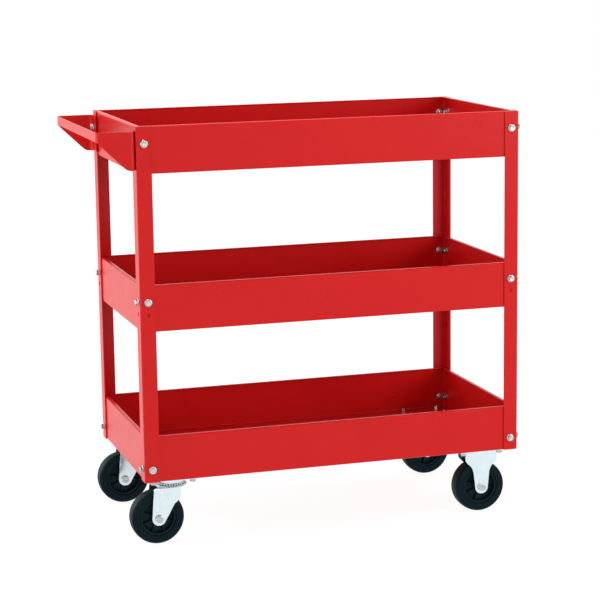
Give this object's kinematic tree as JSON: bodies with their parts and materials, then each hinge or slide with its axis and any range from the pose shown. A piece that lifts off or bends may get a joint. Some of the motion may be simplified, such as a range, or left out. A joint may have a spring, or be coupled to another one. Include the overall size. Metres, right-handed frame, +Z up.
{
  "type": "rolling utility cart",
  "caption": "Steel service cart with shallow stacked trays on angle posts, a folded push handle at one end, and swivel and fixed casters under it.",
  "frame": {"origin": "on the floor, under the middle of the cart's outer box, wheels standing on z = 0", "axes": "+X along the cart's length from the handle end to the far end, +Y across it to the back, +Z up"},
  "size_m": [0.8068, 0.3906, 0.773],
  "materials": {
    "red_paint": "smooth bright red powder coat, satin gloss",
    "zinc_plate": "bright bluish zinc plating on pressed steel",
    "fastener_zinc": "zinc plating, satin",
    "tyre_rubber": "smooth black rubber, semi-gloss on the tread's shoulders",
    "hub_plastic": "black moulded plastic"
  },
  "bodies": {
    "frame": {"top_tray": "red_paint", "middle_tray": "red_paint", "bottom_tray": "red_paint", "post_front_left": "red_paint", "post_front_right": "red_paint", "post_back_left": "red_paint", "post_back_right": "red_paint", "push_handle": "red_paint", "top_bolt_front_left_side": "fastener_zinc", "top_bolt_front_left_end": "fastener_zinc", "top_bolt_front_right_side": "fastener_zinc", "top_bolt_front_right_end": "fastener_zinc", "top_bolt_back_left_side": "fastener_zinc", "top_bolt_back_left_end": "fastener_zinc", "top_bolt_back_right_side": "fastener_zinc", "top_bolt_back_right_end": "fastener_zinc", "middle_bolt_front_left_side": "fastener_zinc", "middle_bolt_front_left_end": "fastener_zinc", "middle_bolt_front_right_side": "fastener_zinc", "middle_bolt_front_right_end": "fastener_zinc", "middle_bolt_back_left_side": "fastener_zinc", "middle_bolt_back_left_end": "fastener_zinc", "middle_bolt_back_right_side": "fastener_zinc", "middle_bolt_back_right_end": "fastener_zinc", "bottom_bolt_front_left_side": "fastener_zinc", "bottom_bolt_front_left_end": "fastener_zinc", "bottom_bolt_front_right_side": "fastener_zinc", "bottom_bolt_front_right_end": "fastener_zinc", "bottom_bolt_back_left_side": "fastener_zinc", "bottom_bolt_back_left_end": "fastener_zinc", "bottom_bolt_back_right_side": "fastener_zinc", "bottom_bolt_back_right_end": "fastener_zinc", "caster_front_left_top_plate": "zinc_plate", "caster_front_left_ball_race": "fastener_zinc", "caster_front_left_kingpin": "fastener_zinc", "caster_front_right_bracket": "zinc_plate", "caster_front_right_axle_bush": "fastener_zinc", "caster_front_right_axle_bolt": "fastener_zinc", "caster_back_left_top_plate": "zinc_plate", "caster_back_left_ball_race": "fastener_zinc", "caster_back_left_kingpin": "fastener_zinc", "caster_back_right_bracket": "zinc_plate", "caster_back_right_axle_bush": "fastener_zinc", "caster_back_right_axle_bolt": "fastener_zinc"},
    "fork_front_left": {"caster_front_left_fork": "zinc_plate", "caster_front_left_axle_bush": "fastener_zinc", "caster_front_left_axle_bolt": "fastener_zinc"},
    "fork_back_left": {"caster_back_left_fork": "zinc_plate", "caster_back_left_axle_bush": "fastener_zinc", "caster_back_left_axle_bolt": "fastener_zinc"},
    "wheel_front_left": {"caster_front_left_hub": "hub_plastic", "caster_front_left_tyre": "tyre_rubber"},
    "wheel_back_left": {"caster_back_left_hub": "hub_plastic", "caster_back_left_tyre": "tyre_rubber"},
    "wheel_front_right": {"caster_front_right_hub": "hub_plastic", "caster_front_right_tyre": "tyre_rubber"},
    "wheel_back_right": {"caster_back_right_hub": "hub_plastic", "caster_back_right_tyre": "tyre_rubber"}
  },
  "joints": [
    {"name": "front_left_swivel", "type": "hinge", "parent": "frame", "child": "fork_front_left", "pos_m": [-0.2759, -0.146, 0.11], "axis": [0, 0, 1], "continuous": true},
    {"name": "front_left_wheel_spin", "type": "hinge", "parent": "fork_front_left", "child": "wheel_front_left", "pos_m": [-0.3039, -0.146, 0.05], "axis": [0, 1, 0], "continuous": true},
    {"name": "back_left_swivel", "type": "hinge", "parent": "frame", "child": "fork_back_left", "pos_m": [-0.2759, 0.146, 0.11], "axis": [0, 0, 1], "continuous": true},
    {"name": "back_left_wheel_spin", "type": "hinge", "parent": "fork_back_left", "child": "wheel_back_left", "pos_m": [-0.3039, 0.146, 0.05], "axis": [0, 1, 0], "continuous": true},
    {"name": "front_right_wheel_spin", "type": "hinge", "parent": "frame", "child": "wheel_front_right", "pos_m": [0.3321, -0.146, 0.05], "axis": [0, 1, 0], "continuous": true},
    {"name": "back_right_wheel_spin", "type": "hinge", "parent": "frame", "child": "wheel_back_right", "pos_m": [0.3321, 0.146, 0.05], "axis": [0, 1, 0], "continuous": true}
  ]
}
